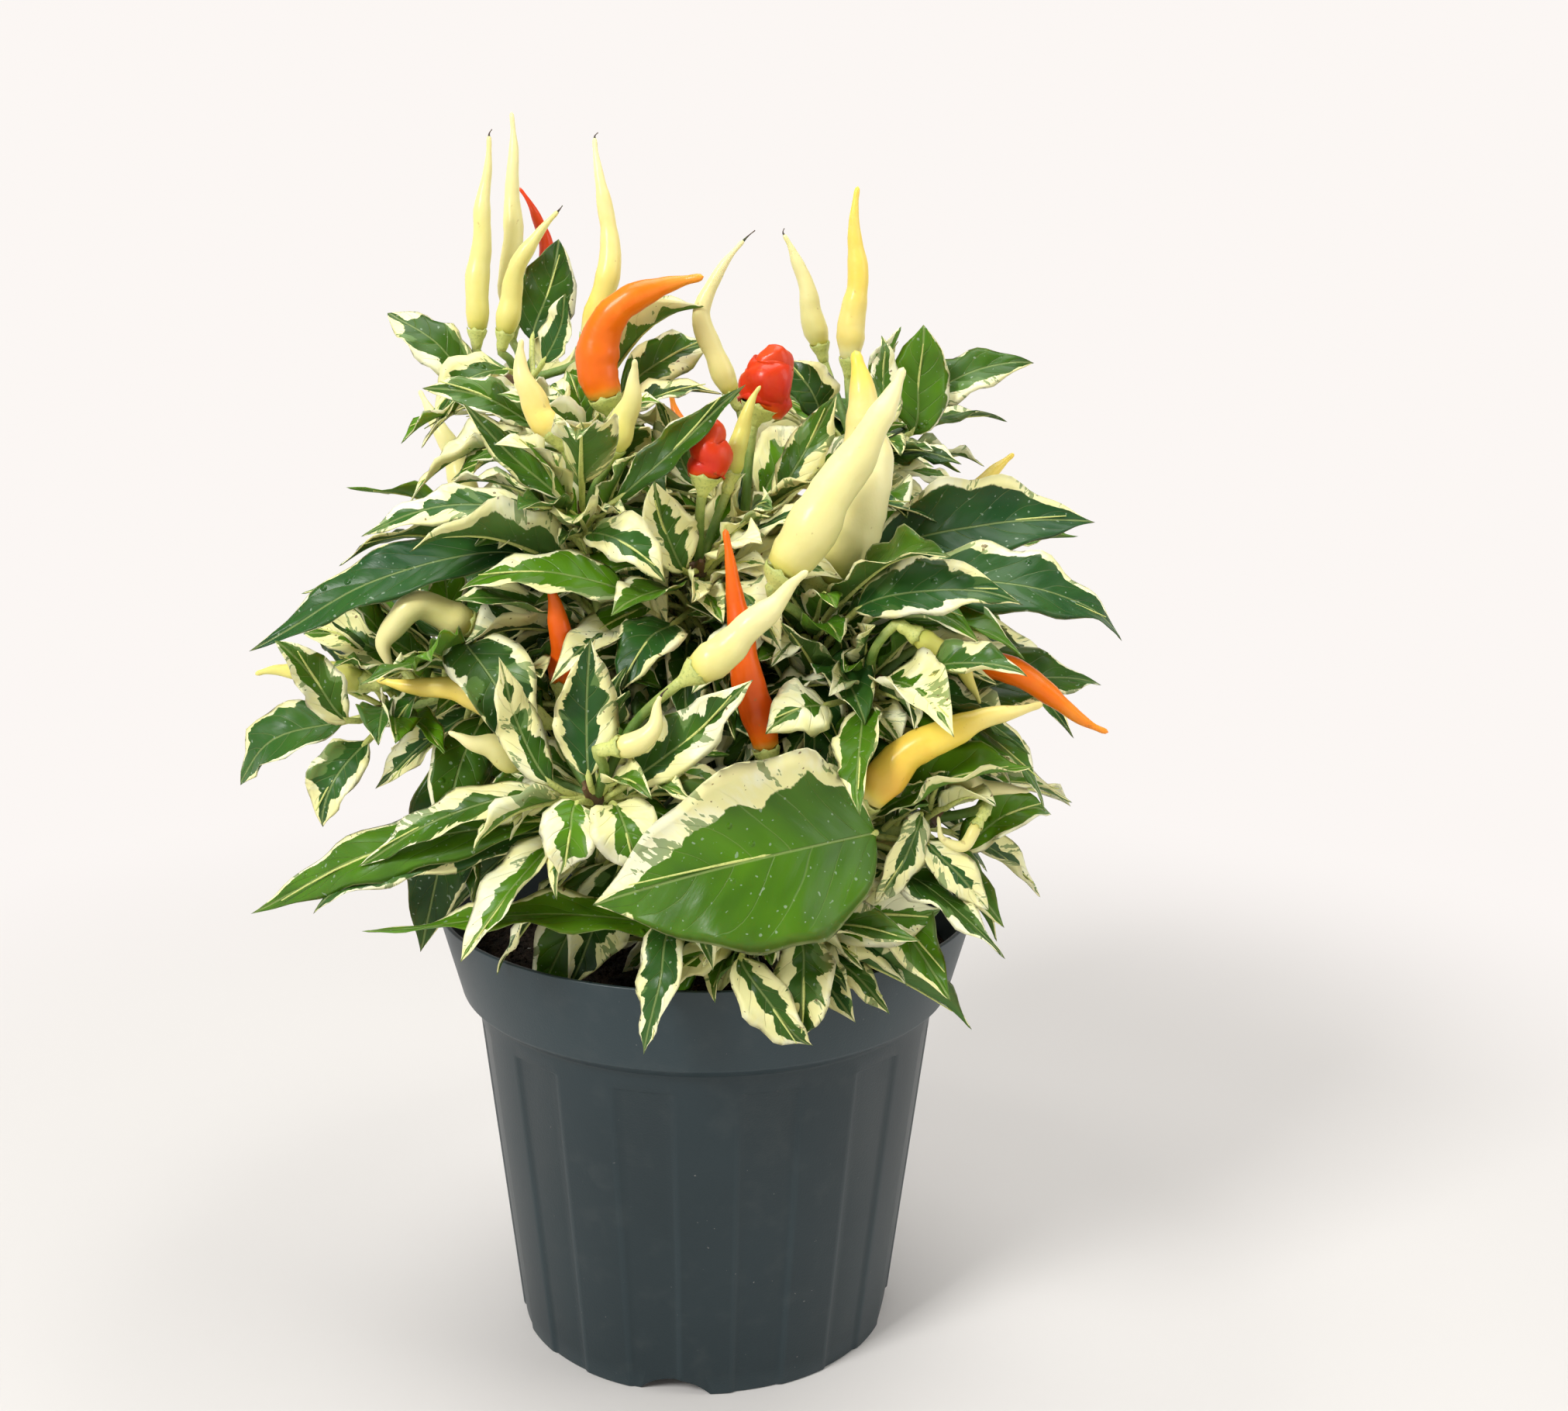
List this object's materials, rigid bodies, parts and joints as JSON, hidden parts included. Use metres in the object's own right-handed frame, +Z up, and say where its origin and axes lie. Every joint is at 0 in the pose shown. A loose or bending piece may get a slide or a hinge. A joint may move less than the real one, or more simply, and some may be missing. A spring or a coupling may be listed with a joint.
{
  "type": "potted chilli pepper plant",
  "caption": "Variegated ornamental chilli plant with cream-edged leaves and upright cream, yellow, orange and red pods, growing in soil in a round slate-grey nursery pot.",
  "frame": {"origin": "on the pot's axis, at the underside that stands on the table", "axes": "+Z up along the pot's axis, -Y towards the front of the plant as pictured"},
  "size_m": [0.178, 0.1593, 0.262],
  "materials": {
    "slate_plastic": "satin injection moulded plastic",
    "potting_soil": "moist crumbly peat",
    "stem_green": "green bark, purple brown at the forks",
    "leaf_dark": "glossy dark green leaf",
    "leaf_mid": "satin mid green leaf",
    "leaf_variegated": "green leaf with cream patches and margins",
    "pod_cream": "waxy cream fruit skin",
    "pod_yellow": "waxy yellow fruit skin",
    "pod_orange": "waxy orange fruit skin",
    "pod_red": "waxy red fruit skin",
    "pod_lime": "waxy yellow green fruit skin"
  },
  "bodies": {
    "root": {"pod_cream_arched": "pod_cream", "pod_cream_back": "pod_cream", "pod_cream_big": "pod_cream", "pod_cream_hooked": "pod_cream", "pod_cream_right": "pod_cream", "pod_curled": "pod_cream", "pod_lime_left": "pod_lime", "pod_lime_slim": "pod_lime", "pod_lime_upper": "pod_lime", "pod_orange_back": "pod_orange", "pod_orange_big": "pod_orange", "pod_orange_right": "pod_orange", "pod_orange_small": "pod_orange", "pod_pale_arched": "pod_lime", "pod_pale_curved": "pod_cream", "pod_pale_slanted": "pod_cream", "pod_pale_top": "pod_cream", "pod_red_back": "pod_red", "pod_red_long": "pod_red", "pod_red_side": "pod_red", "pod_red_small": "pod_red", "pod_red_tuft": "pod_red", "pod_red_wrinkled": "pod_red", "pod_yellow_back": "pod_yellow", "pod_yellow_broad": "pod_cream", "pod_yellow_level": "pod_yellow", "pod_yellow_right": "pod_yellow", "pod_yellow_short": "pod_cream", "pod_yellow_side": "pod_yellow", "pod_yellow_top": "pod_yellow", "pod_yellow_tuft_a": "pod_yellow", "pod_yellow_tuft_b": "pod_cream", "pod_yellow_tuft_c": "pod_cream", "pod_yellow_tuft_d": "pod_yellow", "pod_yellow_upper": "pod_yellow", "pot": "slate_plastic", "soil": "potting_soil", "spray_back": "leaf_mid", "spray_back_left": "leaf_dark", "spray_back_right": "leaf_dark", "spray_back_right_top": "leaf_variegated", "spray_centre": "leaf_variegated", "spray_centre_back": "leaf_variegated", "spray_front_left": "leaf_variegated", "spray_front_low": "leaf_variegated", "spray_front_right": "leaf_mid", "spray_left": "leaf_dark", "spray_right": "leaf_mid", "spray_top_left": "leaf_variegated", "spray_upper_left": "leaf_mid", "spray_upper_right": "leaf_dark", "trunk": "stem_green"}
  },
  "joints": []
}
